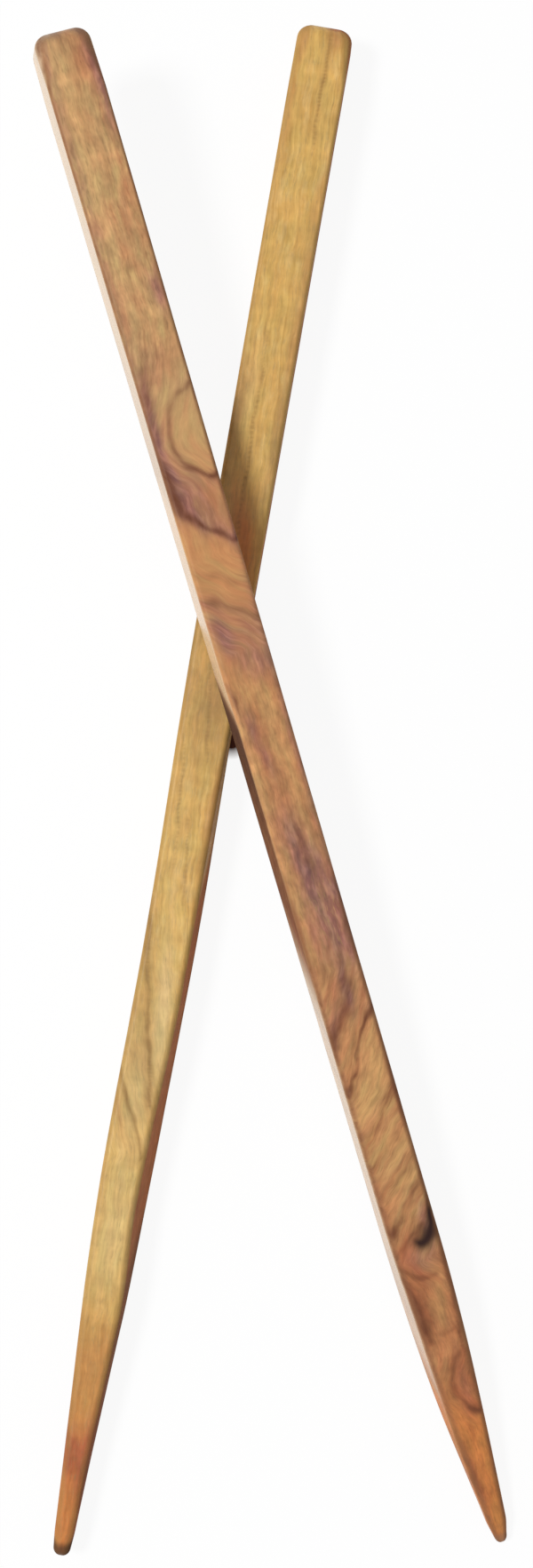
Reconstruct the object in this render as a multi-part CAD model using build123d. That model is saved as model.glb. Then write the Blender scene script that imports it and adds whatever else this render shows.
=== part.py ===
"""A pair of olive-wood chopsticks, crossed as they come to rest on a table.

Each stick is one piece of wood: a square shaft that narrows a little from its butt, and a point that
tapers to a blunt, round tip. Its long edges, the arrises, are eased more and more towards the point.
The lower stick lies flat on the table. The upper one leans over it: its underside bears on one arris
of the lower stick, and its tip is on the table.

Millimetres and degrees. X is across the pair, Y points from the tips to the butts, Z is up.
The origin is on the table, below the middle of the pair.
"""

import os
from dataclasses import dataclass
from math import cos, radians, sin

from build123d import *

# Both sticks
LENGTH = 230.0  # butt to tip
BUTT_WIDTH = 8.2  # across the flats at the butt
SHOULDER_WIDTH = 7.6  # across the flats at the shoulder, where shaft and point would meet unblended
HANDLE_ARRIS = 0.5  # radius of the arrises behind the butt
SHOULDER_ARRIS = 1.0  # radius of the arrises at the front end of the shaft
BUTT_ROUNDING = 2.0  # radius of the rim of the butt
BUTT_FLAT_CORNER = 0.3  # corner radius of the flat that the rim leaves on the butt
BUTT_EASING = 9.0  # stretch behind the butt where the arrises open out into its corners
TIP_FLAT = 0.5  # width of the flat left on the tip
TIP_FLAT_CORNER = 0.1  # corner radius of that flat

# The points, which were shaped by hand and are not quite alike
UPPER_POINT = 32.0  # shoulder to tip
UPPER_BLEND = 16.0  # reach of the rounded shoulder, to each side
UPPER_TIP = 2.4  # width of the tip
LOWER_POINT = 50.0
LOWER_BLEND = 14.0
LOWER_TIP = 2.7

# How the two lie
UPPER_LEAN = 16.4  # angle between the upper stick and Y, seen from above
LOWER_LEAN = 9.9  # the same for the lower stick, to the other side
UPPER_CROSSING = 85.2  # butt of the upper stick to the crossing of the centre lines
LOWER_CROSSING = 88.2  # the same along the lower stick
CONTACT_GAP = 0.02  # clearance where the upper stick bears on the lower

# How finely the shapes are worked out
STEEPEST_SEAT = 60.0  # angle on the arris that the search for the resting seat starts from
SEAT_STEPS = 30  # halvings of that angle


@dataclass
class Stick:
    """One chopstick along +X from its butt at the origin, with the shaft's underside on Z = 0."""

    point: float
    blend: float
    tip: float

    @property
    def shoulder(self):
        return LENGTH - self.point

    @property
    def shaft_end(self):
        return self.shoulder - self.blend

    @property
    def blend_end(self):
        return self.shoulder + self.blend

    @property
    def tip_rounding(self):
        return (self.tip - TIP_FLAT) / 2

    @property
    def shaft_taper(self):
        """Loss of width for each millimetre of shaft."""
        return (BUTT_WIDTH - SHOULDER_WIDTH) / self.shoulder

    def shaft_width(self, x):
        """Width of the shaft at x, drawn on past its end as a straight taper."""
        return BUTT_WIDTH - self.shaft_taper * x

    def width(self, x):
        """Width at x: two straight tapers, joined by a parabola that is tangent to both."""
        point_taper = (SHOULDER_WIDTH - self.tip) / self.point
        if x <= self.shaft_end:
            return self.shaft_width(x)
        if x >= self.blend_end:
            return SHOULDER_WIDTH - point_taper * (x - self.shoulder)
        bend = (point_taper - self.shaft_taper) / (4 * self.blend)
        return self.shaft_width(x) - bend * (x - self.shaft_end) ** 2

    def arris(self, x):
        """Radius of the arrises at x, in straight steps from butt to handle, shaft end and tip."""
        stations = (0.0, BUTT_EASING, self.shaft_end, LENGTH)
        butt_corner = BUTT_ROUNDING + BUTT_FLAT_CORNER
        tip_corner = self.tip_rounding + TIP_FLAT_CORNER
        radii = (butt_corner, HANDLE_ARRIS, SHOULDER_ARRIS, tip_corner)
        step = max(i for i in range(len(stations) - 1) if x >= stations[i])
        share = (x - stations[step]) / (stations[step + 1] - stations[step])
        return radii[step] + share * (radii[step + 1] - radii[step])

    def section(self, x):
        """Section at x on the shaft's centre line: a square, grown by the arris radius to the full width."""
        across = Plane(origin=(x, 0, self.shaft_width(x) / 2), x_dir=(0, 1, 0), z_dir=(1, 0, 0))
        inner = self.width(x) - 2 * self.arris(x)
        return across * offset(Rectangle(inner, inner), self.arris(x))

    def solid(self):
        """Shaft and taper with straight faces, a curved shoulder between, and rounded rims at both ends."""
        shaft = loft([self.section(x) for x in (0.0, BUTT_EASING, self.shaft_end)], ruled=True)
        shoulder = loft([self.section(x) for x in (self.shaft_end, self.shoulder, self.blend_end)])
        taper = loft([self.section(x) for x in (self.blend_end, LENGTH)], ruled=True)
        body = shaft + shoulder + taper
        body = fillet(body.faces().sort_by(Axis.X)[0].edges(), BUTT_ROUNDING)
        return fillet(body.faces().sort_by(Axis.X)[-1].edges(), self.tip_rounding)


def underside_plane(lower, angle):
    """Plane of the upper stick's underside when it bears on the lower stick's arris.

    The angle says how far round from the top the arris is touched. The arris is part of a cone, so a plane
    touches it along a straight line. The plane's origin is at the upper stick's butt, its X along that stick.
    """

    def on_arris(x):
        radius = lower.arris(x)
        inner = lower.width(x) / 2 - radius
        return Vector(x, inner + radius * sin(angle), lower.width(x) - radius + radius * cos(angle))

    line_start = on_arris(BUTT_EASING)
    line = on_arris(lower.shaft_end) - line_start
    normal = line.cross(Vector(0, cos(angle), -sin(angle))).normalized()

    crossing = Vector(LOWER_CROSSING, 0, 0)
    height = ((line_start - crossing).dot(normal) + CONTACT_GAP) / normal.Z
    heading = radians(UPPER_LEAN + LOWER_LEAN)
    along = Vector(cos(heading), sin(heading), 0)
    along = (along - Vector(0, 0, along.dot(normal) / normal.Z)).normalized()
    butt = crossing + Vector(0, 0, height) - along * UPPER_CROSSING
    return Plane(origin=butt, x_dir=along, z_dir=normal)


def come_to_rest(lower, upper_solid):
    """Lean the upper stick over the lower stick's arris until its lowest point is on the table."""
    shallow = 0.0
    steep = radians(STEEPEST_SEAT)
    for _ in range(SEAT_STEPS):
        angle = (shallow + steep) / 2
        leaning = underside_plane(lower, angle) * upper_solid
        if leaning.bounding_box().min.Z > 0:
            shallow = angle
        else:
            steep = angle
    return underside_plane(lower, shallow) * upper_solid


lower_stick = Stick(LOWER_POINT, LOWER_BLEND, LOWER_TIP)
upper_stick = Stick(UPPER_POINT, UPPER_BLEND, UPPER_TIP)
lower_solid = lower_stick.solid()
upper_solid = come_to_rest(lower_stick, upper_stick.solid())

# Turn the tips towards -Y and bring the middle of the pair over the origin
turn = Rotation(0, 0, -90 - LOWER_LEAN)
pair_box = Compound([turn * lower_solid, turn * upper_solid]).bounding_box()
middle = pair_box.center()
place = Pos(-middle.X, -middle.Y, 0) * turn

os.makedirs("parts", exist_ok=True)
export_step(place * lower_solid, "parts/lower_chopstick.step")
export_step(place * upper_solid, "parts/upper_chopstick.step")
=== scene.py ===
"""A pair of olive-wood chopsticks, crossed on a white table and seen from straight above.

Each stick is one skin worked out in the stick's own axes, in millimetres: x from butt to tip, y to the
right and z up, with the middle of the butt's underside at the origin. The wood's figure is worked out
there too, and rides on the skin as attributes that its material reads.
"""

import math

import bpy
import numpy as np
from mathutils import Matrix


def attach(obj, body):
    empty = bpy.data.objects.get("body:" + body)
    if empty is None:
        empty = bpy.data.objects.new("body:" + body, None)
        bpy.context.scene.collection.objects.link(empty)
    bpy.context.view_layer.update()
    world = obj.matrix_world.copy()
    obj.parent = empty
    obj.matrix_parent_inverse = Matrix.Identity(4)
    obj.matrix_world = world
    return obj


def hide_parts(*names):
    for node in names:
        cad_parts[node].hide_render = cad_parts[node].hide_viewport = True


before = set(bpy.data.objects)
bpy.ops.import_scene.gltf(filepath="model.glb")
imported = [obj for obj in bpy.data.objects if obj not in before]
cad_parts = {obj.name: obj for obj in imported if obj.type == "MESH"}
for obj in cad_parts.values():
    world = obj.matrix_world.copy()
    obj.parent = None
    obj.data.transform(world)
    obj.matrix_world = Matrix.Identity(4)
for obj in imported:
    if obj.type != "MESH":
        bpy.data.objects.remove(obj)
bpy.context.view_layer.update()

MM = 0.001

# Sizes of the sticks, in millimetres, the same as those of the solids
LENGTH = 230.0
BUTT_WIDTH = 8.2
SHOULDER_WIDTH = 7.6
HANDLE_ARRIS = 0.5
SHOULDER_ARRIS = 1.0
BUTT_ROUNDING = 2.0
BUTT_FLAT_CORNER = 0.3
BUTT_EASING = 9.0
TIP_FLAT = 0.5
TIP_FLAT_CORNER = 0.1

# Fineness of the skins
ROWS_ALONG = 840
ROWS_ROUND_A_RIM = 9
ROWS_ON_AN_END = 5
STEPS_ROUND_AN_ARRIS = 9
STEPS_ACROSS_FACES = (34, 14, 10, 14)  # top, left, underside, right
STEPS_BETWEEN_VEIN_POINTS = 14
LEAST_ARRIS = 0.02  # keeps the corners of the end flats from closing up

# Marks of hand work, in millimetres
SANDING_DEPTH = 0.02  # half the depth of the deepest hollow
SANDING_FADE = 8.0  # stretch at each end where the hollows fade out
NOSE_REACH = 4.0  # stretch over which the tips are drawn in
KNOT_PIT = 0.3  # depth of the pit that the knot leaves

# How much the veins are strengthened over the widths and darknesses listed for them
VEIN_WIDTH = 1.35
VEIN_DARKNESS = 1.3
VEIN_EDGE = 2.2  # power of the bell curve across a vein: 2 is soft, more is crisper
SHADE_DARKNESS = 1.4
PAST_END_FADE = 0.6  # distance over which a vein's shade ends beyond its ends, in millimetres

# Fields of the wood's figure, from 0 to 1 apart from the grain, the sheen and the arris
FIELDS = (
    "grain", "vein_and_painted_shade", "knot_and_painted_shade", "rose", "red", "pale", "oiled_and_painted_light", "flecked", "end",
    "sheen", "arris", "calm", "painted_lit_side",
)
ARRIS_DULLING = 0.75  # loss of sheen on the rubbed arrises

# Camera straight above, in millimetres, with the photograph's frame of 600 x 1765
CAMERA_PLACE = (-1.355, 1.378, 329.34)
SENSOR_HEIGHT = 24.0
FOCAL_LENGTH = 33.449

# Light: a soft lamp high on the left and an even white surround, in degrees, metres and watts
KEY_ELEVATION = 59.0
KEY_TURN = 8.0
KEY_DISTANCE = 0.9
KEY_SIZE = 0.22
KEY_POWER = 6.15
SURROUND_LEVEL = 0.38

# The table, and the narrow gap between the sticks on the tips' side of the crossing
TABLE_HALF = 3.0  # metres
GAP_PLACE = (-6.6, 7.8, 0.0)  # millimetres
GAP_CORE = 1.0  # radius within which the table is seen as it is lit, in millimetres
GAP_EDGE = 2.8  # radius from which it is seen as plain white
PLAIN_WHITE = 0.92  # share of plain white in what is seen of the open table; the rest is as lit
SKY_REACH = 14.0  # how far the table looks for what stands over it, in millimetres
MIRRORED_WHITE = 0.8  # the same share for mirror rays where nothing stands over it


def smooth_step(start, end, value):
    """0 before start, 1 after end, and the cubic 3t^2 - 2t^3 in between."""
    t = np.clip((value - start) / (end - start), 0.0, 1.0)
    return t * t * (3.0 - 2.0 * t)


class Stick:
    """Sizes of one stick and the widths that follow from them."""

    def __init__(self, node, point, blend, tip):
        self.node = node
        self.point = point
        self.blend = blend
        self.tip = tip
        self.shoulder = LENGTH - point
        self.shaft_end = self.shoulder - blend
        self.blend_end = self.shoulder + blend
        self.tip_rounding = (tip - TIP_FLAT) / 2.0
        self.shaft_taper = (BUTT_WIDTH - SHOULDER_WIDTH) / self.shoulder

    def shaft_width(self, x):
        """Straight taper from the butt, drawn on to the tip."""
        return BUTT_WIDTH - self.shaft_taper * x

    def width(self, x):
        """Two straight tapers joined by a parabola that is tangent to both."""
        point_taper = (SHOULDER_WIDTH - self.tip) / self.point
        bend = (point_taper - self.shaft_taper) / (4.0 * self.blend)
        shoulder = self.shaft_width(x) - bend * (x - self.shaft_end) ** 2
        point = SHOULDER_WIDTH - point_taper * (x - self.shoulder)
        past_shaft = np.where(x >= self.blend_end, point, shoulder)
        return np.where(x <= self.shaft_end, self.shaft_width(x), past_shaft)

    def arris(self, x):
        """Radius of the arrises: straight steps between butt, handle, shaft end and tip."""
        places = (0.0, BUTT_EASING, self.shaft_end, LENGTH)
        radii = (
            BUTT_ROUNDING + BUTT_FLAT_CORNER,
            HANDLE_ARRIS,
            SHOULDER_ARRIS,
            self.tip_rounding + TIP_FLAT_CORNER,
        )
        return np.interp(x, places, radii)


def stick_axes(node):
    """Axes and origin of a stick, in millimetres, read from its solid.

    z is against the normal of the largest triangle that faces down, y is across the two largest side
    triangles, and x is square to both. The origin is at the butt, half way across, on the underside.
    """
    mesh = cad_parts[node].data
    points = np.empty(len(mesh.vertices) * 3)
    mesh.vertices.foreach_get("co", points)
    points = points.reshape(-1, 3) / MM
    mesh.calc_loop_triangles()
    corners = np.empty(len(mesh.loop_triangles) * 3, dtype=np.int32)
    mesh.loop_triangles.foreach_get("vertices", corners)
    triangles = points[corners.reshape(-1, 3)]
    normals = np.cross(triangles[:, 1] - triangles[:, 0], triangles[:, 2] - triangles[:, 0])
    areas = np.linalg.norm(normals, axis=1)
    normals = normals / np.maximum(areas, 1e-9)[:, None]

    def largest_facing(direction):
        """Normal of the largest triangle within 37 degrees of the direction."""
        facing = normals @ np.array(direction) > 0.8
        return normals[np.argmax(np.where(facing, areas, 0.0))]

    up = -largest_facing((0.0, 0.0, -1.0))
    right = largest_facing((1.0, 0.0, 0.0)) - largest_facing((-1.0, 0.0, 0.0))
    right = right - up * (right @ up)
    right = right / np.linalg.norm(right)
    axes = np.stack([np.cross(right, up), right, up])
    local = points @ axes.T
    low = local.min(axis=0)
    high = local.max(axis=0)
    return axes, np.array([low[0], (low[1] + high[1]) / 2.0, low[2]])


def stations(stick):
    """Rows of the skin from butt to tip: place along x, half width, arris radius and size of the row.

    On each end the size grows from the middle to the flat's edge. Round each rim, x and half width follow a
    quarter circle of the rim's radius.
    """
    growing = np.arange(1, ROWS_ON_AN_END) / ROWS_ON_AN_END
    turn = np.linspace(0.0, math.pi / 2.0, ROWS_ROUND_A_RIM)
    butt_x = BUTT_ROUNDING * (1.0 - np.cos(turn))
    butt_inset = BUTT_ROUNDING * (1.0 - np.sin(turn))
    tip_x = LENGTH - stick.tip_rounding + stick.tip_rounding * np.sin(turn)
    tip_inset = stick.tip_rounding * (1.0 - np.cos(turn))
    along = np.linspace(BUTT_ROUNDING, LENGTH - stick.tip_rounding, ROWS_ALONG)[1:-1]
    on_end = np.zeros_like(growing)
    x = np.concatenate([on_end, butt_x, along, tip_x, on_end + LENGTH])
    inset = np.concatenate([
        on_end + BUTT_ROUNDING,
        butt_inset,
        np.zeros_like(along),
        tip_inset,
        on_end + stick.tip_rounding,
    ])
    size = np.concatenate([growing, np.ones(len(butt_x) + len(along) + len(tip_x)), growing[::-1]])
    half = stick.width(x) / 2.0 - inset
    radius = np.maximum(stick.arris(x) - inset, LEAST_ARRIS)
    return x, half, radius, size


def stick_grid(stick, leans):
    """Grid of points (rows, round, xyz) of a stick's skin in its own axes, and their nearness to an arris.

    Each row is a square with four quarter circles for corners and straight faces between them. The left
    and the right side lean in towards the top: each point moves in by the side's lean, times its share of
    the height, times its share of the width from the other side.
    """
    x, half, radius, size = stations(stick)
    share = np.linspace(0.0, 1.0, STEPS_ROUND_AN_ARRIS)
    inner = (half - radius)[:, None]
    corners = []
    for k in range(4):
        angle = (k + share) * math.pi / 2.0
        middle = (k + 0.5) * math.pi / 2.0
        y_arc = inner * np.sign(math.cos(middle)) + radius[:, None] * np.cos(angle)
        z_arc = inner * np.sign(math.sin(middle)) + radius[:, None] * np.sin(angle)
        corners.append((y_arc, z_arc))
    y_parts = []
    z_parts = []
    arris_parts = []
    for k in range(4):
        face_share = np.linspace(0.0, 1.0, STEPS_ACROSS_FACES[k] + 2)[1:-1]
        arris_parts += [np.sin(share * math.pi), 0.0 * face_share]
        y_here, z_here = corners[k]
        y_next, z_next = corners[(k + 1) % 4]
        y_parts += [y_here, y_here[:, -1:] + (y_next[:, :1] - y_here[:, -1:]) * face_share]
        z_parts += [z_here, z_here[:, -1:] + (z_next[:, :1] - z_here[:, -1:]) * face_share]
    y = np.concatenate(y_parts, axis=1) * size[:, None]
    z = np.concatenate(z_parts, axis=1) * size[:, None]
    full = 2.0 * half[:, None]
    height_share = (z + half[:, None]) / full
    width_share = (y + half[:, None]) / full
    left, right = leans(x)
    y = y + height_share * (left[:, None] * (1.0 - width_share) - right[:, None] * width_share)
    arris = np.broadcast_to(np.concatenate(arris_parts), y.shape)
    return np.stack([np.broadcast_to(x[:, None], y.shape), y, z], axis=-1), arris


def hand_sanded(grid):
    """Small hollows left by sanding: long slow waves, at most 0.04 mm deep, that only take wood away."""
    x = grid[..., 0]
    round_angle = np.arctan2(grid[..., 2], grid[..., 1])
    waves = (
        np.sin(x * 0.21 + 2.0 * round_angle)
        + np.sin(x * 0.083 - round_angle + 1.3)
        + 0.6 * np.sin(x * 0.47 + 3.0 * round_angle + 0.4)
    )
    highest = 2.6  # sum of the three waves' heights
    hollow = SANDING_DEPTH * (waves / highest - 1.0)
    hollow = hollow * smooth_step(1.0, SANDING_FADE, x) * smooth_step(LENGTH, LENGTH - SANDING_FADE, x)
    across = np.hypot(grid[..., 1], grid[..., 2])
    shrink = 1.0 + hollow / np.maximum(across, 1.0)
    grid[..., 1] *= shrink
    grid[..., 2] *= shrink
    return grid


def curve_through(points):
    """Points along a Catmull-Rom curve, the cubic that passes through each given point in turn."""
    p = np.array(points, dtype=float)
    p = np.concatenate([2.0 * p[:1] - p[1:2], p, 2.0 * p[-1:] - p[-2:-1]])
    t = np.linspace(0.0, 1.0, STEPS_BETWEEN_VEIN_POINTS, endpoint=False)[:, None, None]
    a, b, c, d = p[:-3], p[1:-2], p[2:-1], p[3:]
    curve = 0.5 * (
        2.0 * b
        + (c - a) * t
        + (2.0 * a - 5.0 * b + 4.0 * c - d) * t**2
        + (3.0 * b - a - 3.0 * c + d) * t**3
    )
    curve = curve.transpose(1, 0, 2).reshape(-1, p.shape[1])
    return np.concatenate([curve, p[-2:-1]])


def veins_and_shades(x, y, veins):
    """Darkness of the veins, and of the shade beside them.

    A vein runs through points (x, y, half width, darkness), and swells and thins a little along its run.
    Its darkness is a bell curve of the distance to it. Its shade falls off as exp(-distance / reach) on one
    side only: to the left of its run where the reach is positive, to the right where it is negative.
    """
    dark = np.zeros_like(x)
    shade = np.zeros_like(x)
    for reach, strength, points in veins:
        curve = curve_through(points)
        curve_x, curve_y, half_width, darkness = curve.T
        swell = 0.5 * np.sin(1.7 * curve_x + 0.6 * curve_y)
        swell = swell + 0.5 * np.sin(2.9 * curve_y - 0.9 * curve_x + 1.0)
        width = VEIN_WIDTH * half_width * (1.0 + 0.25 * swell)
        peak = np.minimum(VEIN_DARKNESS * darkness * (1.0 + 0.2 * swell), 1.0)
        margin = max(4.0 * width.max(), 3.0 * abs(reach))
        near = (x > curve_x.min() - margin) & (x < curve_x.max() + margin)
        dx = x[near][:, None] - curve_x
        dy = y[near][:, None] - curve_y
        distance = np.hypot(dx, dy)
        bell = (peak * np.exp(-((distance / width) ** VEIN_EDGE))).max(axis=1)
        dark[near] = np.maximum(dark[near], bell)
        along = np.gradient(curve[:, :2], axis=0)
        along = along / np.linalg.norm(along, axis=1)[:, None]
        nearest = distance.argmin(axis=1)
        pick = np.arange(len(nearest))
        side = dy[pick, nearest] * along[nearest, 0] - dx[pick, nearest] * along[nearest, 1]
        past_end = distance[pick, nearest] - np.abs(side)
        on_shaded_side = smooth_step(-0.2, 0.2, side * np.sign(reach))
        reach_here = abs(reach) * (0.35 + 0.65 * on_shaded_side)
        fall = np.exp(-np.abs(side) / reach_here - (past_end / PAST_END_FADE) ** 2)
        depth = np.minimum(SHADE_DARKNESS * strength * darkness[nearest], 1.0)
        shade[near] = np.maximum(shade[near], depth * fall)
    return dark, shade


def patches(x, y, spots):
    """Sum of soft patches (x, y, half length, half width, slope, strength), bell curves along a slope."""
    total = np.zeros_like(x)
    for spot_x, spot_y, long, wide, slope, strength in spots:
        dx = x - spot_x
        dy = y - spot_y - slope * dx
        total = total + strength * np.exp(-((dx / long) ** 2) - (dy / wide) ** 2)
    return np.clip(total, 0.0, 1.0)


def wandered(x, y):
    """The place moved a little by waves of 2 to 12 mm, so that no figure has a drawn edge."""
    wander_x = 0.25 * np.sin(1.3 * y + 0.5 * x) + 0.10 * np.sin(2.1 * y - 1.1 * x + 0.8)
    wander_y = 0.10 * np.sin(0.55 * x + 0.4) + 0.06 * np.sin(1.3 * x + 0.9 * y)
    wander_y = wander_y + 0.025 * np.sin(3.1 * x - 1.4 * y)
    return x + wander_x, y + wander_y


# Figure of the upper stick, on its top face in millimetres
# A slant is the slope of the grain between two places along the stick
UPPER_SLANTS = (
    (-1.0, 77.0, 91.0),
    (0.55, 139.0, 158.0),
    (0.9, 158.0, 176.0),
    (0.6, 176.0, 184.0),
    (-0.7, 184.0, 188.0),
    (-0.15, 188.0, 199.0),
)
UPPER_VEINS = (
    # Outer loop, with rose wood inside it
    (2.0, 1.0, (
        (46.5, -1.2, 0.7, 0.2), (50.0, -2.5, 0.7, 0.3), (54.0, -3.3, 0.6, 0.3), (60.0, -3.8, 0.5, 0.3),
        (64.0, -3.6, 0.55, 0.7), (67.8, -3.2, 0.7, 1.0), (70.3, -2.3, 0.55, 0.95), (72.0, -0.6, 0.4, 0.8),
        (73.6, 1.2, 0.34, 0.65), (75.0, 3.0, 0.32, 0.65), (75.6, 4.6, 0.3, 0.7),
    )),
    # Inner loop
    (-1.6, 0.45, (
        (52.2, 3.4, 0.3, 0.4), (53.6, 1.0, 0.28, 0.32), (56.4, -0.7, 0.28, 0.4), (60.2, -1.2, 0.26, 0.45),
        (62.6, -0.7, 0.28, 0.55), (64.4, 0.6, 0.3, 0.6), (65.4, 2.2, 0.38, 0.8), (65.8, 4.0, 0.34, 0.85),
    )),
    # Cross figure past the crossing
    (-2.6, 0.9, (
        (82.6, -4.0, 0.45, 0.3), (84.0, -0.6, 0.45, 0.28), (85.3, 1.2, 0.4, 0.3), (86.8, 3.2, 0.35, 0.35),
    )),
    (1.0, 0.4, ((78.6, -3.6, 0.4, 0.15), (80.2, 0.0, 0.4, 0.2), (82.0, 3.4, 0.4, 0.15))),
    (0.8, 0.3, (
        (98.0, -0.4, 0.5, 0.05), (104.0, -0.2, 0.5, 0.18), (111.0, 0.1, 0.5, 0.2), (117.0, 0.4, 0.5, 0.1),
    )),
    (-0.6, 0.4, ((95.0, -3.5, 0.2, 0.2), (97.6, -3.2, 0.24, 0.6), (99.6, -3.2, 0.18, 0.25))),
    # Two dark diagonals
    (-1.8, 0.9, (
        (138.0, 1.3, 0.5, 0.15), (140.5, 1.0, 0.6, 0.35), (143.0, 0.6, 0.65, 0.45),
        (145.0, -0.3, 0.6, 0.5), (146.6, -1.4, 0.6, 0.55), (148.3, -2.8, 0.6, 0.7),
        (150.2, -3.6, 0.5, 0.8), (152.5, -4.1, 0.4, 0.8),
    )),
    (-1.5, 0.6, (
        (146.0, 3.8, 0.42, 0.85), (147.5, 2.2, 0.36, 0.8), (149.2, 0.9, 0.26, 0.5),
        (152.0, -0.4, 0.26, 0.35), (154.2, -1.2, 0.28, 0.5), (155.4, -2.5, 0.38, 0.75),
        (157.4, -3.6, 0.45, 0.9),
    )),
    # Dark heart of the rose band
    (0.8, 0.3, (
        (116.0, 0.2, 0.4, 0.1), (119.5, 0.4, 0.4, 0.3), (123.0, 0.7, 0.4, 0.35), (127.0, 1.2, 0.4, 0.15),
    )),
    (0.6, 0.4, (
        (128.5, 3.5, 0.5, 0.1), (131.5, 3.2, 0.6, 0.3), (134.5, 3.1, 0.6, 0.3), (137.5, 3.5, 0.5, 0.1),
    )),
    # Wavy fine lines
    (-1.0, 0.4, (
        (157.8, 3.6, 0.7, 0.6), (160.2, 1.6, 0.5, 0.3), (162.0, 0.2, 0.4, 0.25), (163.4, -1.6, 0.4, 0.3),
        (164.4, -3.6, 0.5, 0.35),
    )),
    (-1.0, 0.4, ((164.0, 3.4, 0.6, 0.22), (166.6, 0.4, 0.5, 0.16), (168.6, -3.2, 0.5, 0.22))),
    (-1.0, 0.4, ((168.4, 3.4, 0.6, 0.25), (170.8, 0.6, 0.6, 0.2), (173.2, -3.0, 0.6, 0.2))),
    (-1.0, 0.5, ((173.4, 3.0, 0.6, 0.35), (176.4, -0.4, 0.5, 0.3), (179.0, -3.3, 0.5, 0.7))),
    # Dark right rim, before the knot and after it
    (0.4, 0.3, (
        (152.0, 3.9, 0.3, 0.2), (156.5, 3.5, 0.35, 0.7), (161.0, 3.6, 0.35, 0.7), (165.0, 3.9, 0.3, 0.3),
        (171.0, 3.7, 0.3, 0.45), (176.0, 3.6, 0.3, 0.5),
    )),
    (0.4, 0.3, (
        (182.0, 3.6, 0.3, 0.3), (186.0, 3.3, 0.35, 0.55), (192.0, 2.95, 0.35, 0.5),
        (199.0, 2.5, 0.3, 0.5), (205.0, 2.3, 0.25, 0.3),
    )),
    # Round the knot and beyond
    (-1.2, 0.8, ((178.8, 1.9, 0.35, 0.4), (180.6, -0.8, 0.35, 0.4), (182.4, -3.2, 0.35, 0.4))),
    (1.4, 0.8, (
        (184.2, -3.8, 0.35, 0.5), (185.6, -2.2, 0.32, 0.5), (186.4, -0.8, 0.3, 0.4),
        (186.8, 1.6, 0.3, 0.2),
    )),
    (1.0, 0.8, (
        (186.6, -3.3, 0.5, 0.6), (190.0, -2.7, 0.7, 0.85), (193.0, -2.4, 0.7, 0.85),
        (196.4, -2.0, 0.4, 0.5),
    )),
    (-0.8, 0.5, ((195.0, -3.0, 0.3, 0.25), (195.4, 0.0, 0.3, 0.2), (195.2, 3.0, 0.3, 0.25))),
    (1.6, 0.9, (
        (199.0, 2.0, 0.3, 0.25), (200.6, 0.2, 0.35, 0.35), (203.0, -0.6, 0.42, 0.36),
        (205.2, -0.4, 0.36, 0.42), (207.0, 0.7, 0.32, 0.55), (208.9, 2.3, 0.4, 0.7),
    )),
    (0.8, 0.3, (
        (212.0, -1.9, 0.3, 0.15), (215.0, -1.5, 0.35, 0.35), (219.0, -1.1, 0.35, 0.4),
        (223.0, -0.8, 0.3, 0.2),
    )),
)
UPPER_KNOT = (
    (0.3, 0.0, (
        (174.8, 3.5, 0.3, 0.25), (177.4, 3.2, 0.4, 0.65), (179.2, 2.8, 0.8, 1.0), (180.6, 2.2, 1.1, 1.0),
        (181.2, 1.3, 1.0, 1.0), (181.5, 0.5, 0.65, 0.95),
    )),
)
UPPER_ROSE = (
    (22.0, -3.2, 26.0, 0.9, 0.0, 0.4),
    (9.0, 3.5, 6.0, 0.8, 0.0, 0.9),
    (5.0, 2.7, 3.4, 0.9, 0.0, 0.5),
    (38.5, 3.0, 3.0, 1.0, 0.0, 1.0),
    (108.0, 3.7, 30.0, 0.7, 0.0, 0.6),
    (133.0, 3.2, 5.0, 1.0, 0.0, 1.0),
    (133.0, -1.8, 4.5, 0.8, 0.0, 0.35),
    (58.0, -3.2, 8.0, 1.0, 0.0, 0.7),
    (67.5, -2.0, 3.6, 0.9, 0.25, 0.8),
    (67.8, 0.2, 3.6, 1.4, 0.2, 0.5),
    (88.0, -2.0, 3.4, 1.5, 0.2, 1.0),
    (88.5, 1.6, 2.4, 1.8, 0.2, 0.4),
    (93.0, 1.8, 2.5, 2.2, 0.0, 0.8),
    (102.0, -1.8, 3.0, 0.9, 0.1, 0.65),
    (107.0, -1.0, 2.5, 0.7, 0.1, 0.65),
    (123.0, 0.3, 7.0, 1.9, 0.12, 1.4),
    (132.0, 1.4, 6.5, 2.4, 0.05, 1.1),
    (142.5, 0.7, 3.2, 0.6, -0.05, 0.7),
    (149.0, -3.2, 3.0, 0.8, -0.3, 0.7),
    (178.5, 2.2, 2.6, 0.9, 0.0, 0.9),
    (183.5, 0.5, 2.0, 2.5, 0.0, 0.5),
    (204.2, 1.0, 3.4, 0.9, 0.0, 0.2),
)
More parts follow.
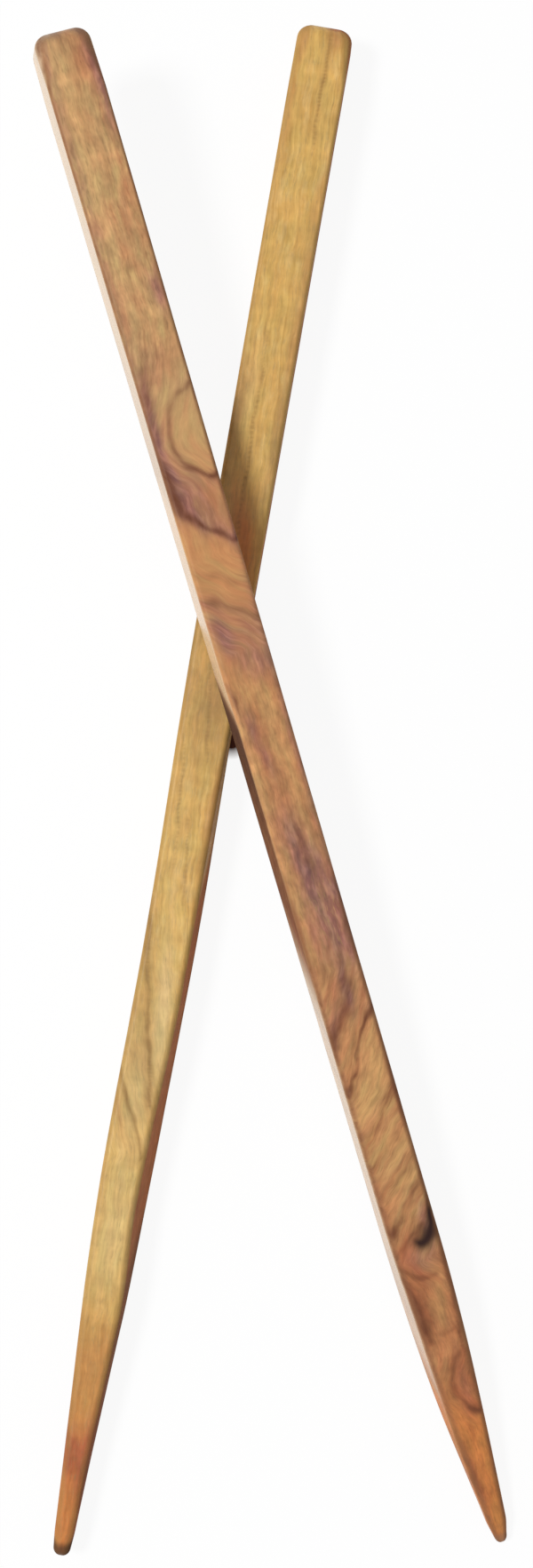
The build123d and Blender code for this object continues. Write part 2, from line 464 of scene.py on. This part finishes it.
UPPER_RED = (
    (4.5, 2.2, 3.6, 1.4, 0.0, 0.9),
    (28.0, 3.4, 14.0, 1.0, 0.0, 0.25),
    (69.5, 1.2, 4.0, 2.2, 0.0, 0.35),
    (159.0, 3.6, 4.5, 0.6, 0.0, 0.9),
    (101.0, -1.6, 3.0, 1.0, 0.0, 0.5),
    (107.0, -0.9, 2.5, 0.7, 0.0, 0.4),
    (142.0, -1.3, 4.0, 0.9, 0.0, 0.4),
    (134.0, -3.7, 5.0, 0.5, 0.0, 0.6),
    (174.0, -3.4, 6.0, 1.0, 0.0, 0.4),
    (182.5, -1.8, 2.5, 2.2, 0.0, 0.4),
    (191.0, -2.5, 4.5, 0.9, 0.12, 0.9),
    (186.5, -1.8, 3.0, 1.5, 0.0, 0.6),
    (203.8, 0.9, 4.2, 1.3, 0.0, 0.55),
    (218.0, -1.1, 6.0, 0.6, 0.08, 0.6),
)
UPPER_PALE = (
    (12.0, -0.8, 8.0, 2.4, 0.0, 0.4),
    (24.0, -2.2, 12.0, 1.2, 0.0, 0.4),
    (43.0, 1.8, 6.0, 1.6, 0.0, 0.4),
    (59.0, 1.5, 5.0, 2.0, 0.0, 0.8),
    (78.0, 0.0, 4.5, 3.5, 0.0, 0.5),
    (118.0, -2.9, 16.0, 0.8, 0.02, 0.35),
    (108.0, 1.6, 10.0, 1.2, 0.0, 0.4),
    (156.5, 1.0, 4.0, 2.4, -0.2, 1.0),
    (151.0, 2.2, 3.0, 0.9, -0.3, 0.8),
    (159.5, -1.6, 2.2, 1.0, -0.4, 1.0),
    (166.0, 0.6, 1.6, 2.4, -0.4, 0.9),
    (171.5, 0.6, 1.6, 2.2, -0.4, 0.8),
    (176.5, 1.0, 1.2, 1.6, -0.5, 0.6),
    (191.5, 1.0, 3.5, 1.4, 0.0, 1.0),
    (206.5, -1.4, 3.5, 0.7, 0.1, 0.9),
    (226.0, 0.0, 2.0, 1.0, 0.0, 0.6),
    (197.0, 0.0, 1.2, 3.2, 0.0, 0.4),
)
UPPER_FLECKED = (
    (131.0, 1.5, 7.0, 2.5, 0.0, 1.0),
)

# Figure of the lower stick
LOWER_SLANTS = (
    (-0.13, 132.0, 160.0),
    (-0.25, 157.0, 169.0),
)
LOWER_VEINS = (
    (-0.8, 0.5, ((2.0, 1.0, 0.18, 0.3), (9.0, 0.85, 0.2, 0.45), (19.0, 1.1, 0.16, 0.2))),
    (0.6, 0.5, (
        (46.0, -0.65, 0.16, 0.25), (54.0, -0.6, 0.18, 0.36), (64.0, -0.45, 0.18, 0.36),
        (76.0, -0.15, 0.18, 0.3),
    )),
    (0.6, 0.4, ((119.0, 0.0, 0.16, 0.2), (126.0, 0.9, 0.2, 0.35), (131.0, 1.4, 0.16, 0.2))),
    (0.6, 0.4, ((94.0, -1.1, 0.16, 0.2), (102.0, 0.2, 0.2, 0.3), (110.0, 1.3, 0.16, 0.2))),
    (0.6, 0.4, ((106.0, -2.6, 0.16, 0.15), (116.0, -1.7, 0.2, 0.3), (126.0, -0.9, 0.16, 0.15))),
    # The two ring boundaries, with greyer wood before them
    (-2.2, 0.9, (
        (130.0, -3.6, 0.3, 0.3), (138.0, -2.6, 0.35, 0.5), (145.0, -1.4, 0.35, 0.4),
        (150.0, -0.5, 0.3, 0.45), (155.0, 0.5, 0.28, 0.5), (161.5, 1.7, 0.25, 0.4),
    )),
    (-1.6, 0.7, (
        (157.0, -3.5, 0.28, 0.4), (160.2, -2.2, 0.28, 0.45), (163.0, -0.5, 0.3, 0.5),
        (165.2, 0.3, 0.28, 0.45), (169.0, 1.7, 0.25, 0.5),
    )),
    # Dark flecks near the tip
    (0.4, 0.3, ((212.2, -1.7, 0.4, 0.15), (213.6, -1.4, 0.4, 0.25), (215.2, -0.5, 0.35, 0.15))),
)
LOWER_RED = (
    (2.0, 1.8, 2.2, 1.4, 0.0, 0.55),
    (2.0, -2.8, 3.0, 0.9, 0.0, 0.4),
    (77.0, 0.8, 7.0, 1.5, 0.3, 0.4),
    (14.0, -3.4, 9.0, 0.7, 0.0, 0.35),
    (40.0, 3.5, 16.0, 0.7, 0.0, 0.35),
    (118.0, 3.2, 10.0, 0.7, 0.0, 0.4),
    (160.0, 1.4, 5.0, 0.8, 0.1, 0.3),
    (163.0, -2.8, 3.0, 0.7, 0.3, 0.3),
    (213.4, -1.2, 1.8, 0.9, 0.0, 0.5),
    (215.0, 1.1, 11.0, 0.7, -0.04, 0.35),
)
LOWER_ROSE = (
    (153.0, -2.0, 8.0, 1.3, 0.16, 0.4),
    (198.0, 0.0, 8.0, 4.0, 0.0, 0.3),
    # Painted shade: darker wood near the crossing, where the upper stick shades this one
    (101.0, 0.0, 9.0, 4.0, 0.05, 1.0),
    (36.0, 3.0, 15.0, 1.2, 0.0, 0.4),
    (56.0, -3.0, 6.0, 1.1, 0.0, 1.0),
    (62.0, 3.3, 11.0, 1.0, 0.0, 1.0),
    (92.0, -3.4, 7.0, 1.0, 0.0, 1.0),
    (68.0, -3.0, 9.0, 1.0, 0.05, 0.6),
    (46.0, -3.6, 12.0, 0.6, 0.0, 0.3),
)
LOWER_PALE = (
    (55.0, -1.8, 6.0, 1.0, 0.0, 0.4),
    (147.0, 1.2, 10.0, 1.3, 0.1, 1.0),
    (122.0, -1.2, 10.0, 2.2, 0.05, 0.15),
    (158.0, -1.0, 8.0, 2.0, 0.1, 0.6),
    (182.0, -0.4, 9.0, 3.0, 0.0, 0.55),
    (164.0, -0.5, 22.0, 4.0, 0.0, 0.35),
    # Painted light: lightens the upper stick's cast shadow on this stick
    (73.0, -1.4, 5.0, 2.0, 0.2, 0.7),
)
# Painted light: an orange patch that lightens the upper stick's cast shadow
LOWER_PAINTED_LIGHT = (
    (76.0, 0.8, 8.0, 2.0, 0.3, 0.9),
)
LOWER_FLECKED = (
    (145.0, 1.2, 10.0, 1.4, 0.1, 1.0),
    (122.0, 0.0, 12.0, 3.0, 0.0, 0.6),
)


def upper_figure(x, y, depth):
    """Fields of the upper stick's wood.

    Below the top face the figure leans forward, as rings in a board do. The grain is the place across the
    stick, bent round the loops by bell curves and turned by the slants. The left side, which faces the
    lamp, is painted pale as painted light, apart from painted shade on a stretch past the crossing, where
    the lower stick shades it. Places are in millimetres from the butt.
    """
    x, y = wandered(x + 0.9 * depth, y + 0.12 * depth)
    grain = y + 0.3 * depth
    from_loop = x - 60.5
    loop = np.where(from_loop < 0.0, from_loop / 9.0, from_loop / 4.6)
    grain = grain + 5.0 * np.exp(-(loop**2))
    for slope, start, end in UPPER_SLANTS:
        grain = grain + slope * (np.clip(x, start, end) - start)
    grain = grain + 2.6 * np.exp(-(((x - 204.0) / 4.0) ** 2))
    dark, shade = veins_and_shades(x, y, UPPER_VEINS)
    knot_and_painted_shade = veins_and_shades(x, y, UPPER_KNOT)[0]

    left_side = smooth_step(0.2, 0.8, depth) * smooth_step(-1.2, -1.8, y)
    # Painted shade: past the crossing the left side is darkened, where the lower stick shades it
    past_crossing = left_side * smooth_step(98.0, 104.0, x)
    near_gap = past_crossing * smooth_step(126.0, 106.0, x)
    past_gap = past_crossing * smooth_step(152.0, 128.0, x)
    # Painted light: the left side, which faces the lamp, is painted pale, less so along the point
    painted_lit_side = left_side * (1.0 - past_crossing * smooth_step(146.0, 136.0, x))
    painted_lit_side = painted_lit_side * (1.0 - 0.9 * smooth_step(186.0, 214.0, x))
    side_sheen = 0.25 - 0.8 * smooth_step(198.0, 214.0, x)

    browner = smooth_step(143.0, 150.0, x)
    redder = 0.30 * smooth_step(46.0, 64.0, x) - 0.14 * smooth_step(143.0, 149.0, x)
    redder = redder + 0.49 * smooth_step(174.0, 190.0, x) - 0.3 * smooth_step(205.0, 212.0, x)
    rose = np.clip(patches(x, y, UPPER_ROSE) + shade * (1.0 - browner), 0.0, 1.0)
    red = np.clip(patches(x, y, UPPER_RED) + redder + 0.7 * shade * browner, 0.0, 1.0)
    oiled_and_painted_light = 0.28 * smooth_step(58.0, 72.0, x) - 0.1 * smooth_step(92.0, 104.0, x)
    butt_end = smooth_step(1.9, 0.3, x) + 0.2 * smooth_step(7.0, 0.0, x)
    # The vein and knot fields also carry the painted shade past the crossing
    return {
        "grain": grain,
        "vein_and_painted_shade": np.maximum(dark * (1.0 - 0.8 * painted_lit_side), 0.9 * past_gap),
        "knot_and_painted_shade": np.maximum(knot_and_painted_shade, 0.7 * near_gap),
        "rose": rose * (1.0 - 0.7 * painted_lit_side),
        "red": red * (1.0 - 0.6 * painted_lit_side),
        "pale": patches(x, y, UPPER_PALE),
        "oiled_and_painted_light": oiled_and_painted_light + 0.82 * smooth_step(198.0, 211.0, x),
        "flecked": patches(x, y, UPPER_FLECKED),
        "end": np.clip(butt_end + 0.7 * smooth_step(228.6, 229.8, x), 0.0, 1.0),
        "sheen": (1.0 + left_side * side_sheen) * (1.0 - 0.95 * past_gap) * (1.0 - 0.8 * knot_and_painted_shade),
        "arris": 1.6 - 1.6 * smooth_step(64.0, 76.0, x) * smooth_step(132.0, 120.0, x),
        "calm": smooth_step(46.0, 54.0, x) * smooth_step(100.0, 90.0, x),
        "painted_lit_side": painted_lit_side,
    }


def lower_figure(x, y, depth):
    """Fields of the lower stick's wood: straight grain that drifts to the right by three degrees.

    The right side is red, partly heartwood and partly painted shade, with painted shade darkest just past
    the crossing and along the point.
    """
    x, y = wandered(x + 1.6 * depth, y + 0.1 * depth)
    grain = y + 0.35 * depth - 0.05 * x
    for slope, start, end in LOWER_SLANTS:
        grain = grain + slope * (np.clip(x, start, end) - start)
    dark, shade = veins_and_shades(x, y, LOWER_VEINS)

    right_side = smooth_step(0.0, 1.4, y) * smooth_step(0.3, 1.0, depth)
    right_side = right_side * (1.0 - 0.7 * smooth_step(103.0, 109.0, x) * smooth_step(136.0, 126.0, x))
    # Painted shade on the right side, which faces away from the lamp: darkest just past the crossing, under
    # the upper stick, and along the point
    painted_side_shade = 0.7 * smooth_step(90.0, 96.0, x) * smooth_step(116.0, 102.0, x)
    painted_side_shade = (painted_side_shade + 0.5 * smooth_step(184.0, 192.0, x) * smooth_step(229.0, 221.0, x)) * right_side

    toasted = 0.75 * np.exp(-(((x - 214.5) / 4.0) ** 2))
    # The right side's red is partly heartwood and partly painted shade
    red = patches(x, y, LOWER_RED) + toasted + 0.2 * smooth_step(192.0, 200.0, x) + right_side
    oiled_and_painted_light = 0.5 * smooth_step(188.0, 200.0, x) + 0.5 * smooth_step(205.0, 218.0, x)
    return {
        "grain": grain,
        "vein_and_painted_shade": dark,
        "knot_and_painted_shade": np.clip(0.8 * smooth_step(227.6, 229.4, x) + painted_side_shade, 0.0, 1.0),
        "rose": np.clip(patches(x, y, LOWER_ROSE) + shade, 0.0, 1.0),
        "red": np.clip(red, 0.0, 1.0),
        "pale": patches(x, y, LOWER_PALE),
        "oiled_and_painted_light": np.clip(oiled_and_painted_light + patches(x, y, LOWER_PAINTED_LIGHT), 0.0, 1.0),
        "flecked": 0.3 + 0.5 * patches(x, y, LOWER_FLECKED),
        "end": smooth_step(1.4, 0.2, x),
        "sheen": 1.0 - 0.9 * right_side,
        "arris": np.ones_like(x),
        "calm": np.zeros_like(x),
        "painted_lit_side": np.zeros_like(x),
    }


def linear(hex_colour):
    """sRGB hex colour as the linear RGBA that the nodes take."""
    parts = [int(hex_colour[i:i + 2], 16) / 255.0 for i in (1, 3, 5)]
    return [c / 12.92 if c <= 0.04045 else ((c + 0.055) / 1.055) ** 2.4 for c in parts] + [1.0]


def add(tree, kind, inputs, **settings):
    """Adds a node, sets its properties and fills its inputs with values or with links from sockets."""
    node = tree.nodes.new(kind)
    for name, value in settings.items():
        setattr(node, name, value)
    for socket, value in inputs.items():
        if isinstance(value, bpy.types.NodeSocket):
            tree.links.new(value, node.inputs[socket])
        else:
            node.inputs[socket].default_value = value
    return node


def new_material(name):
    """An empty node material and its node tree."""
    material = bpy.data.materials.new(name)
    material.use_nodes = True
    material.node_tree.nodes.clear()
    return material, material.node_tree


# Sockets of the colour mix node
MIX_A = 6
MIX_B = 7
MIX_RESULT = 2


def olive_wood(name, colours, line_gap, line_depth, unrest):
    """Olive wood, planed, sanded and oiled.

    The eye gets fine dark lines that follow the grain, rose and red clouds of heartwood, dark veins, short
    pores along the fibres, a faint curl across them, and a soft satin sheen. Some fields also carry painted
    light and painted shade: a pale lit side, sides darkened where they face away from the lamp or where
    the other stick shades them, and lighter patches in a cast shadow.
    """
    material, tree = new_material(name)
    place = add(tree, "ShaderNodeAttribute", {}, attribute_name="along_grain_mm").outputs["Vector"]
    field = {key: add(tree, "ShaderNodeAttribute", {}, attribute_name=key).outputs["Fac"] for key in FIELDS}
    colour = {key: linear(hex_colour) for key, hex_colour in colours.items()}

    def noise(size_mm, detail):
        """Noise whose grains have the given length, width and height in millimetres."""
        scaled = add(tree, "ShaderNodeMapping", {"Vector": place, "Scale": [1.0 / mm for mm in size_mm]})
        texture = add(
            tree, "ShaderNodeTexNoise",
            {"Vector": scaled.outputs[0], "Scale": 1.0, "Detail": detail, "Roughness": 0.6},
        )
        return texture.outputs["Fac"]

    def spread(value, low, high, to_low=0.0, to_high=1.0):
        """The value taken from the first range to the second, and held at its ends."""
        inputs = {0: value, 1: low, 2: high, 3: to_low, 4: to_high}
        return add(tree, "ShaderNodeMapRange", inputs).outputs[0]

    def times(a, b):
        return add(tree, "ShaderNodeMath", {0: a, 1: b}, operation="MULTIPLY").outputs[0]

    def mixed(below, above, amount, blend="MIX"):
        """One colour laid over another by an amount."""
        inputs = {0: amount, MIX_A: below, MIX_B: above}
        return add(tree, "ShaderNodeMix", inputs, data_type="RGBA", blend_type=blend).outputs[MIX_RESULT]

    # Growth lines along the grain field, which wavers by a millimetre or so, broken and calmed in places
    waver = noise((22.0, 1.8, 1.8), 2.0)
    line_place = add(
        tree, "ShaderNodeMath", {0: waver, 1: 1.6, 2: field["grain"]}, operation="MULTIPLY_ADD"
    ).outputs[0]
    lines = add(
        tree, "ShaderNodeTexNoise",
        {"W": line_place, "Scale": 1.0 / line_gap, "Detail": 2.0, "Roughness": 0.62},
        noise_dimensions="1D",
    ).outputs["Fac"]
    broken = spread(noise((6.0, 0.9, 0.9), 2.0), 0.35, 0.62, 0.25, 1.0)
    calmed = spread(field["calm"], 0.0, 1.0, line_depth, 0.28 * line_depth)
    lines = times(times(spread(lines, 0.36, 0.68), broken), calmed)

    # Finer structure. Pores are 0.1 mm wide, and drawn twice as wide so that they show
    fibres = noise((5.0, 0.4, 0.4), 4.0)
    pores = spread(noise((1.4, 0.22, 0.22), 1.0), 0.58, 0.72)
    clouds = spread(noise((4.5, 1.6, 1.6), 3.0), 0.32, 0.68)
    mottle = noise((2.2, 1.0, 1.0), 2.0)
    curl = noise((2.2, 9.0, 9.0), 2.0)

    # Colours of the wood, each laid over the one before
    wood = mixed(colour["early"], colour["late"], lines)
    wood = mixed(wood, colour["cloud"], times(clouds, 0.6 * unrest))
    wood = mixed(wood, colour["pale"], times(spread(clouds, 0.45, 0.0), 0.6 * unrest))
    wood = mixed(wood, colour["pale"], times(field["pale"], 0.8))
    # on the lower stick this also paints light into the upper stick's cast shadow
    wood = mixed(wood, colour["oiled_and_painted_light"], times(field["oiled_and_painted_light"], 0.85))
    wood = mixed(wood, colour["red"], times(field["red"], 0.8))
    rose_colour = mixed(colour["rose"], colour["pink"], spread(noise((3.0, 0.8, 0.8), 2.0), 0.45, 0.65))
    wood = mixed(wood, rose_colour, times(field["rose"], spread(clouds, 0.0, 1.0, 0.65, 1.0)))
    wood = mixed(wood, colour["pale"], times(times(pores, field["flecked"]), 0.5))

    # Lighter and darker, warmer and cooler by turns
    tone = times(spread(fibres, 0.3, 0.7, 0.87, 1.11), spread(curl, 0.3, 0.7, 0.92, 1.07))
    tone = times(tone, spread(mottle, 0.3, 0.7, 1.0 - 0.18 * unrest, 1.0 + 0.2 * unrest))
    tone = times(tone, spread(pores, 0.0, 1.0, 1.0, 0.83))
    hue = spread(noise((5.0, 1.8, 1.8), 1.0), 0.34, 0.66)
    tint = mixed([1.06, 0.97, 0.98, 1.0], [0.96, 1.02, 0.99, 1.0], hue)
    wood = mixed(wood, tone, spread(field["calm"], 0.0, 1.0, 1.0, 0.42), "MULTIPLY")
    wood = mixed(wood, tint, unrest, "MULTIPLY")

    # Painted light on the pale lit side, dark veins and painted shade, rubbed arrises, end grain, and the
    # knot with painted shade
    wood = mixed(wood, colour["painted_lit_side"], times(field["painted_lit_side"], 0.6))
    wood = mixed(wood, colour["vein_and_painted_shade"], times(field["vein_and_painted_shade"], spread(mottle, 0.3, 0.65, 1.0, 0.8)))
    wood = mixed(wood, colour["arris"], times(field["arris"], spread(mottle, 0.3, 0.7, 0.2, 0.6)))
    wood = mixed(wood, colour["end"], times(field["end"], 0.75))
    wood = mixed(wood, colour["knot_and_painted_shade"], field["knot_and_painted_shade"])

    # Sheen, and the feel of fibres and pores
    polish = times(field["sheen"], spread(fibres, 0.3, 0.7, 1.0, 0.86))
    relief = add(tree, "ShaderNodeMath", {0: fibres, 1: pores}, operation="SUBTRACT").outputs[0]
    bump = add(tree, "ShaderNodeBump", {"Height": relief, "Strength": 0.5, "Distance": 0.008 * MM})
    shader = add(
        tree, "ShaderNodeBsdfPrincipled",
        {
            "Base Color": wood,
            "Roughness": spread(polish, 0.0, 1.3, 1.0, 0.12),
            "IOR": 1.5,
            "Specular IOR Level": 0.3,
            "Normal": bump.outputs["Normal"],
        },
    )
    add(tree, "ShaderNodeOutputMaterial", {"Surface": shader.outputs[0]})
    return material


def nosed(grid, stick, nose):
    """The tip drawn in over its last stretch by the share called nose, about the line of its underside."""
    x = grid[..., 0]
    kept = 1.0 - nose * smooth_step(LENGTH - NOSE_REACH, LENGTH, x)
    underside = -stick.width(x) / 2.0
    grid[..., 1] *= kept
    grid[..., 2] = underside + (grid[..., 2] - underside) * kept
    return grid


def build_stick(stick, figure, material, leans, bow, nose):
    """Skin of one stick: its grid closed by a point at each end, with the figure's fields on its points.

    The bow moves the whole section sideways. The knot leaves a pit in the top face, and none at the tip.
    """
    axes, origin = stick_axes(stick.node)
    grid, arris = stick_grid(stick, leans)
    grid = nosed(hand_sanded(grid), stick, nose)
    rows, around = grid.shape[:2]
    ends = np.array([grid[0].mean(axis=0), grid[-1].mean(axis=0)])
    local = np.concatenate([grid.reshape(-1, 3), ends])
    middle = stick.shaft_width(local[:, 0]) / 2.0
    depth = stick.width(local[:, 0]) / 2.0 - local[:, 2]
    fields = figure(local[:, 0], local[:, 1] + bow(local[:, 0]), depth)
    rounding = np.concatenate([arris.ravel(), np.zeros(2)])
    fields["arris"] *= rounding
    fields["sheen"] *= 1.0 - ARRIS_DULLING * rounding
    pit = fields["knot_and_painted_shade"] * smooth_step(0.6, 0.1, depth) * smooth_step(226.0, 224.0, local[:, 0])
    local[:, 2] -= KNOT_PIT * pit
    own_place = np.stack([local[:, 0], fields["grain"], local[:, 2]], axis=1)
    local[:, 1] += bow(local[:, 0])
    local[:, 2] += middle
    world = (local + origin) @ axes * MM

    index = np.arange(rows * around).reshape(rows, around)
    turned = np.roll(index, -1, axis=1)
    quads = np.stack([index[:-1], turned[:-1], turned[1:], index[1:]], axis=-1).reshape(-1, 4)
    butt_fan = np.stack([turned[0], index[0], np.full(around, rows * around)], axis=-1)
    tip_fan = np.stack([index[-1], turned[-1], np.full(around, rows * around + 1)], axis=-1)
    faces = quads.tolist() + butt_fan.tolist() + tip_fan.tolist()

    name = stick.node + "_wood"
    mesh = bpy.data.meshes.new(name)
    mesh.from_pydata(world.tolist(), [], faces)
    mesh.polygons.foreach_set("use_smooth", np.ones(len(faces), dtype=bool))
    vector = mesh.attributes.new("along_grain_mm", "FLOAT_VECTOR", "POINT")
    vector.data.foreach_set("vector", own_place.astype(np.float32).ravel())
    for key in FIELDS:
        attribute = mesh.attributes.new(key, "FLOAT", "POINT")
        attribute.data.foreach_set("value", fields[key].astype(np.float32))
    mesh.materials.append(material)
    mesh.update()
    piece = bpy.data.objects.new(name, mesh)
    bpy.context.scene.collection.objects.link(piece)
    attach(piece, "root")
    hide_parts(stick.node)


def upper_leans(x):
    """The upper stick's left side leans in just past the crossing and along the point.

    Its right side stands square.
    """
    past_crossing = 0.2 * smooth_step(95.0, 103.0, x) * smooth_step(168.0, 108.0, x)
    on_point = 0.4 * smooth_step(178.0, 194.0, x) * smooth_step(222.0, 204.0, x)
    return past_crossing + on_point, np.zeros_like(x)


def lower_leans(x):
    """The lower stick's right side was planed to lean in.

    It leans more and more up to the shoulder, then less to the tip. The left side stands square.
    """
    rise = 0.8 * smooth_step(94.0, 134.0, x) + 0.85 * smooth_step(144.0, 176.0, x)
    fall = 1.2 * smooth_step(176.0, 194.0, x)
    return np.zeros_like(x), (rise - fall) * smooth_step(LENGTH, LENGTH - 16.0, x)


def upper_bow(x):
    """The upper stick is straight up to its point, which bends to the right by a third of a millimetre."""
    return 0.35 * smooth_step(205.0, 228.0, x)


def lower_bow(x):
    """The lower stick is bowed to the right by half a millimetre in front of the crossing."""
    return 0.48 * np.exp(-(((x - 134.0) / 26.0) ** 2))


upper_wood = olive_wood("olive_wood_figured_oiled", {
    "early": "#c8a06e",
    "late": "#9f7049",
    "cloud": "#b28056",
    "pale": "#cda76d",
    "oiled_and_painted_light": "#d0803a",
    "red": "#a3603c",
    "rose": "#80554f",
    "pink": "#a57468",
    "vein_and_painted_shade": "#64341a",
    "arris": "#7d5236",
    "end": "#75594a",
    # painted light: the pale colour of the left side that faces the lamp
    "painted_lit_side": "#e6cfae",
    "knot_and_painted_shade": "#28120f",
}, line_gap=2.2, line_depth=0.9, unrest=1.0)
lower_wood = olive_wood("olive_wood_straight_oiled", {
    "early": "#d3ab60",
    "late": "#ae823c",
    "cloud": "#c99d58",
    "pale": "#d6ba80",
    "oiled_and_painted_light": "#c6773a",
    "red": "#9a4b34",
    "rose": "#a27f4a",
    "pink": "#ad8650",
    "vein_and_painted_shade": "#7a5526",
    "arris": "#94703f",
    "end": "#8c6c46",
    "painted_lit_side": "#e0c898",
    "knot_and_painted_shade": "#33200f",
}, line_gap=0.8, line_depth=0.75, unrest=0.5)

upper_stick = Stick("upper_chopstick", point=32.0, blend=16.0, tip=2.4)
lower_stick = Stick("lower_chopstick", point=50.0, blend=14.0, tip=2.7)
build_stick(upper_stick, upper_figure, upper_wood, upper_leans, upper_bow, nose=0.28)
build_stick(lower_stick, lower_figure, lower_wood, lower_leans, lower_bow, nose=0.1)


def seen_rays(tree):
    """1 for rays from the camera, straight or through glass, and 0 for others; and 1 for mirror rays."""
    ray = add(tree, "ShaderNodeLightPath", {})
    inputs = {0: ray.outputs["Is Camera Ray"], 1: ray.outputs["Is Transmission Ray"]}
    seen = add(tree, "ShaderNodeMath", inputs, operation="MAXIMUM").outputs[0]
    return seen, ray.outputs["Is Glossy Ray"]


def white_table():
    """A smooth white table top.

    Where it is open it is seen as mostly plain white, and it keeps the shadow. In the narrow gap under the
    crossing it is seen as it is lit, and its colour there is painted a dark brown as painted shade. Mirror
    rays see it as mostly white where nothing stands over it.
    """
    material, tree = new_material("table_white_laminate")
    seen, glossy = seen_rays(tree)
    sky = add(tree, "ShaderNodeAmbientOcclusion", {"Distance": SKY_REACH * MM}, samples=16).outputs["AO"]
    here = add(tree, "ShaderNodeTexCoord", {}).outputs["Object"]
    gap_middle = [c * MM for c in GAP_PLACE]
    off = add(tree, "ShaderNodeVectorMath", {0: here, 1: gap_middle}, operation="DISTANCE").outputs["Value"]
    core = GAP_CORE * MM
    edge = GAP_EDGE * MM
    from_gap = {0: off, 1: core, 2: edge, 3: 0.0, 4: PLAIN_WHITE}
    from_sky = {0: sky, 1: 0.35, 2: 0.7, 3: 0.0, 4: MIRRORED_WHITE}
    plain = add(tree, "ShaderNodeMapRange", from_gap).outputs[0]
    mirrored = add(tree, "ShaderNodeMapRange", from_sky).outputs[0]
    straight = add(tree, "ShaderNodeMath", {0: seen, 1: plain}, operation="MULTIPLY").outputs[0]
    share = add(
        tree, "ShaderNodeMath", {0: glossy, 1: mirrored, 2: straight},
        operation="MULTIPLY_ADD", use_clamp=True,
    ).outputs[0]
    # Painted shade: the table's colour darkens to brown in the gap under the crossing
    gap = add(tree, "ShaderNodeMapRange", {0: off, 1: edge, 2: core}).outputs[0]
    shades = {0: gap, MIX_A: linear("#f6f6f6"), MIX_B: linear("#6b443c")}
    shade = add(tree, "ShaderNodeMix", shades, data_type="RGBA").outputs[MIX_RESULT]
    matt = add(tree, "ShaderNodeBsdfDiffuse", {"Color": shade})
    white = add(tree, "ShaderNodeEmission", {"Color": linear("#ffffff"), "Strength": 1.0})
    mix = add(tree, "ShaderNodeMixShader", {0: share, 1: matt.outputs[0], 2: white.outputs[0]})
    add(tree, "ShaderNodeOutputMaterial", {"Surface": mix.outputs[0]})
    signs = ((-1, -1), (1, -1), (1, 1), (-1, 1))
    corners = [(TABLE_HALF * sign_x, TABLE_HALF * sign_y, 0.0) for sign_x, sign_y in signs]
    mesh = bpy.data.meshes.new("table")
    mesh.from_pydata(corners, [], [(0, 1, 2, 3)])
    mesh.materials.append(material)
    table = bpy.data.objects.new("table", mesh)
    bpy.context.scene.collection.objects.link(table)


def surround():
    """An even white surround: full white where it is seen or mirrored, and a plain fill level as light."""
    world = bpy.data.worlds.new("surround")
    world.use_nodes = True
    tree = world.node_tree
    tree.nodes.clear()
    seen, glossy = seen_rays(tree)
    shown = add(tree, "ShaderNodeMath", {0: seen, 1: glossy}, operation="MAXIMUM").outputs[0]
    level = add(tree, "ShaderNodeMapRange", {0: shown, 3: SURROUND_LEVEL, 4: 1.0}).outputs[0]
    back = add(tree, "ShaderNodeBackground", {"Color": linear("#ffffff"), "Strength": level})
    add(tree, "ShaderNodeOutputWorld", {"Surface": back.outputs[0]})
    bpy.context.scene.world = world


def key_lamp():
    """A round soft lamp to the left of the pair, aimed at its middle."""
    lamp = bpy.data.lights.new("key", "AREA")
    lamp.shape = "DISK"
    lamp.size = KEY_SIZE
    lamp.energy = KEY_POWER
    elevation = math.radians(KEY_ELEVATION)
    turn = math.radians(KEY_TURN)
    key = bpy.data.objects.new("key", lamp)
    key.location = (
        -KEY_DISTANCE * math.cos(elevation) * math.cos(turn),
        KEY_DISTANCE * math.cos(elevation) * math.sin(turn),
        KEY_DISTANCE * math.sin(elevation),
    )
    key.rotation_euler = (0.0, -(math.pi / 2.0 - elevation), -turn)
    bpy.context.scene.collection.objects.link(key)


def overhead_camera():
    """The camera looks straight down, with the butts at the top of the picture."""
    lens = bpy.data.cameras.new("overhead")
    lens.sensor_fit = "VERTICAL"
    lens.sensor_height = SENSOR_HEIGHT
    lens.lens = FOCAL_LENGTH
    lens.clip_start = 0.01
    camera = bpy.data.objects.new("overhead", lens)
    camera.location = tuple(c * MM for c in CAMERA_PLACE)
    bpy.context.scene.collection.objects.link(camera)
    bpy.context.scene.camera = camera


white_table()
surround()
key_lamp()
overhead_camera()
bpy.context.scene.view_settings.view_transform = "Standard"
